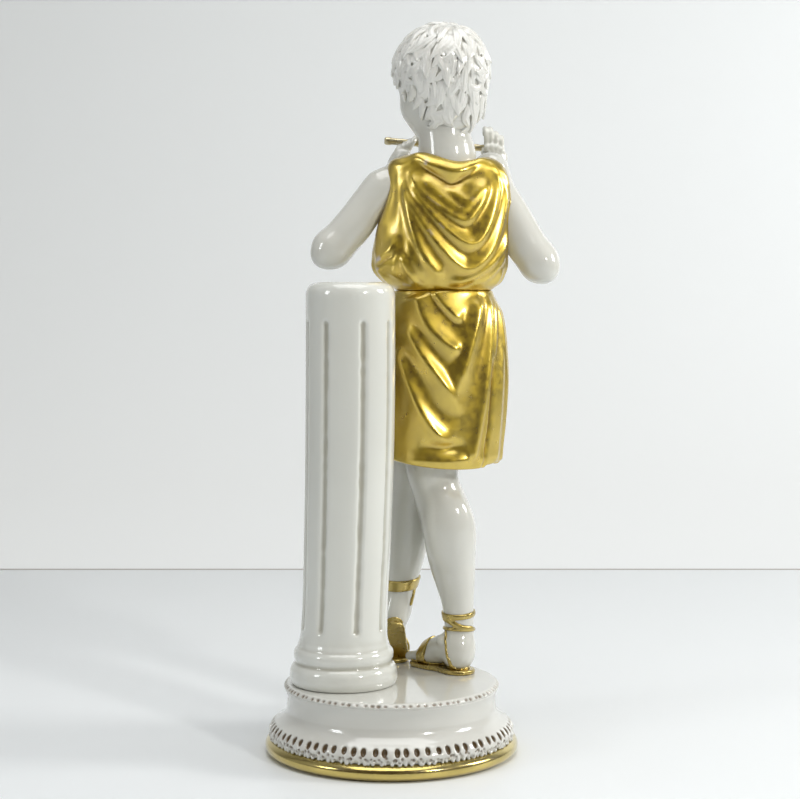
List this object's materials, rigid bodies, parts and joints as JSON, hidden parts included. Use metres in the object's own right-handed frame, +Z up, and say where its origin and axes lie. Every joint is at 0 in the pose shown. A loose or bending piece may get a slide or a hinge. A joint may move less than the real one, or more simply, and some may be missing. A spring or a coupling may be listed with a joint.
{
  "type": "porcelain figurine",
  "caption": "Glazed porcelain figurine of a child in a gilded classical tunic playing a cross-blown flute beside a fluted column on a round pricked plinth.",
  "frame": {"origin": "on the axis of the round plinth, at the plane it rests on", "axes": "+Z up, the boy's chest faces -Y, the column stands on the +X side"},
  "size_m": [0.122, 0.105, 0.3022],
  "materials": {
    "foot_gilding": "burnished gold lustre over glaze",
    "pricked_rims": "glossy glaze, darker in the pricks",
    "plinth_glaze": "glossy white glaze",
    "column_glaze": "glossy white glaze",
    "tunic_gilding": "brushed gold lustre over glaze, worn on the folds",
    "skin_glaze": "glossy white glaze",
    "sandal_gilding": "painted gold lustre over glaze",
    "flute_gilding": "thin gold lustre over white glaze",
    "hair_glaze": "glossy white glaze pooled between the locks"
  },
  "bodies": {
    "root": {"gilt_foot_band": "foot_gilding", "lower_pricked_rim": "pricked_rims", "plinth_drum": "plinth_glaze", "plinth_top": "plinth_glaze", "upper_pricked_rim": "pricked_rims", "column_base": "column_glaze", "column_collar": "column_glaze", "column_shaft": "column_glaze", "column_cap": "column_glaze", "skirt": "tunic_gilding", "bodice": "tunic_gilding", "cowl_collar": "tunic_gilding", "right_leg": "skin_glaze", "left_leg": "skin_glaze", "right_foot": "skin_glaze", "left_foot": "skin_glaze", "right_sole": "sandal_gilding", "left_sole": "sandal_gilding", "right_ankle_straps": "sandal_gilding", "left_ankle_straps": "sandal_gilding", "right_foot_straps": "sandal_gilding", "left_foot_straps": "sandal_gilding", "right_upper_arm": "skin_glaze", "left_upper_arm": "skin_glaze", "right_forearm": "skin_glaze", "left_forearm": "skin_glaze", "right_hand": "skin_glaze", "left_hand": "skin_glaze", "flute": "flute_gilding", "neck": "skin_glaze", "head": "skin_glaze", "hair": "hair_glaze"}
  },
  "joints": []
}
